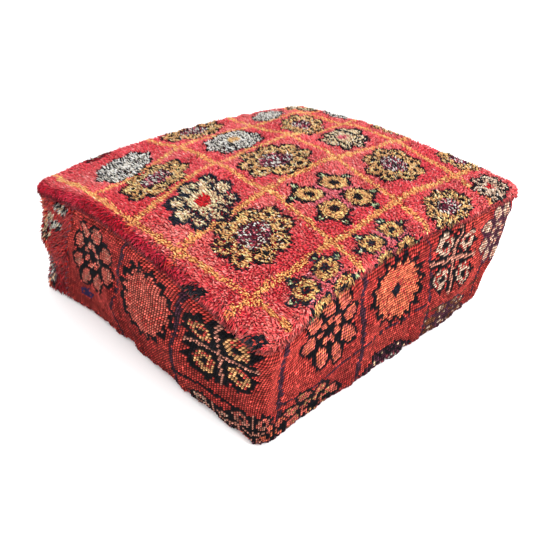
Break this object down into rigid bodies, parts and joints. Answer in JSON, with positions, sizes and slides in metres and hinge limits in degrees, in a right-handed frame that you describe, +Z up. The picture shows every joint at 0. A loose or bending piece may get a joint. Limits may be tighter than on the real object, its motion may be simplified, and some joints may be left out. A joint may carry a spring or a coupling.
{
  "type": "floor cushion",
  "caption": "Square stuffed floor cushion in a zipped cover of knotted rug, crowned on top, with a calico inner pad.",
  "frame": {"origin": "middle of the base, on the floor", "axes": "+Z up, +Y along the longer side towards the back, +X along the other side to the right"},
  "size_m": [0.6, 0.65, 0.264],
  "materials": {
    "rug_pile_top": "coral red wool pile with orange lattice and flower medallions",
    "rug_pile_side": "deep red wool pile with cream and black squares",
    "rug_back_side": "brick red knotted wool, knot side out, with salmon and cream flowers outlined in black",
    "base_cloth": "plain brick red rug, knot side out",
    "seam_thread": "waxed dark thread",
    "zip_tape": "woven dark red tape",
    "zip_teeth": "moulded dark red",
    "zip_metal": "satin nickel",
    "calico": "unbleached cotton calico",
    "calico_thread": "cotton thread",
    "stuffing": "loose recycled fibre"
  },
  "bodies": {
    "cushion": {"top_panel": "rug_pile_top", "side_band_front": "rug_back_side", "side_band_rear": "rug_pile_side", "base_panel_front": "base_cloth", "base_panel_rear": "base_cloth", "top_seam_thread": "seam_thread", "base_seam_thread": "seam_thread", "band_join_thread_front": "seam_thread", "band_join_thread_rear": "seam_thread", "base_join_thread": "seam_thread", "zip_tape_front": "zip_tape", "zip_tape_rear": "zip_tape", "zip_teeth_front": "zip_teeth", "zip_teeth_rear": "zip_teeth", "zip_top_stops": "zip_metal", "zip_bottom_stop": "zip_metal", "zip_thread_front": "seam_thread", "zip_thread_rear": "seam_thread", "pad_case_top": "calico", "pad_case_base": "calico", "pad_case_thread": "calico_thread", "pad_fill": "stuffing"},
    "slider": {"zip_slider": "zip_metal"},
    "pull": {"zip_pull": "zip_metal"}
  },
  "joints": [
    {"name": "zip_slide", "type": "slide", "parent": "cushion", "child": "slider", "axis": [-1, 0, 0], "range_m": [0, 0.351], "deforming": ["zip_teeth_front", "zip_teeth_rear"]},
    {"name": "pull_hinge", "type": "hinge", "parent": "slider", "child": "pull", "pos_m": [0.184, 0, 0.0063], "axis": [0, -1, 0], "range_deg": [0, 140]}
  ]
}
